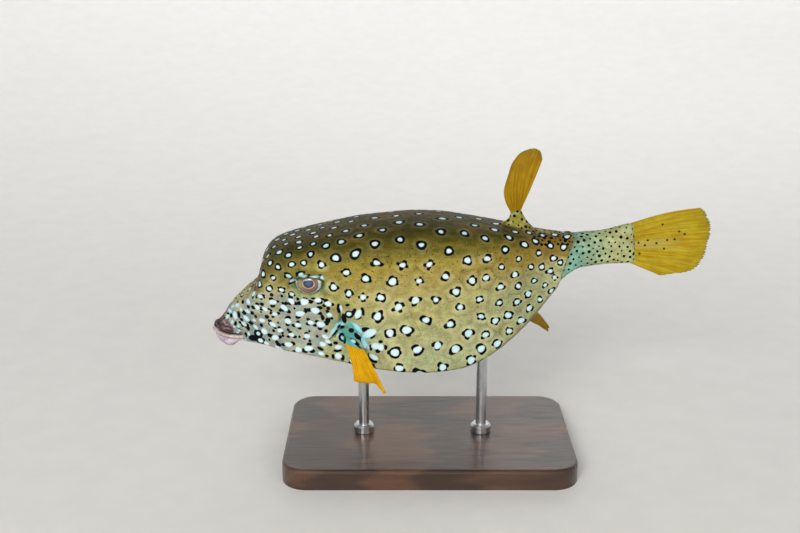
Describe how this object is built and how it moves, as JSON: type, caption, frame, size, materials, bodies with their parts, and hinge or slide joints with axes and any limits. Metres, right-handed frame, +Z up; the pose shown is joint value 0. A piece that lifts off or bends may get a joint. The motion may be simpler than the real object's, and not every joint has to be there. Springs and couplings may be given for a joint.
{
  "type": "boxfish display model",
  "caption": "Life-size still model of a yellow boxfish with raised dorsal fin, held nose-down over a flat display base by short rods.",
  "frame": {"origin": "on the floor, under the middle of the model's box", "axes": "+X from the snout towards the tail, +Z up, -Y towards the fish's left side"},
  "size_m": [0.2364, 0.084, 0.153],
  "materials": {
    "skin": "painted satin skin: olive-gold with ringed white spots",
    "lips": "painted satin, mottled purple-grey above and pink below",
    "fins": "painted satin, golden yellow with rays",
    "eyes": "polished, dark pupil in an orange-brown iris",
    "stand_wood": "satin dark walnut",
    "stand_steel": "brushed"
  },
  "bodies": {
    "root": {"head": "skin", "trunk": "skin", "caudal_peduncle": "skin", "upper_lip": "lips", "lower_lip": "lips", "eye_left": "eyes", "eye_right": "eyes", "dorsal_fin_base": "skin", "dorsal_fin": "fins", "anal_fin_base": "skin", "anal_fin": "fins", "pectoral_fin_base_left": "skin", "pectoral_fin_left": "fins", "pectoral_fin_base_right": "skin", "pectoral_fin_right": "fins", "caudal_fin": "fins", "stand_base": "stand_wood", "stand_rod_front": "stand_steel", "stand_rod_rear": "stand_steel"}
  },
  "joints": []
}
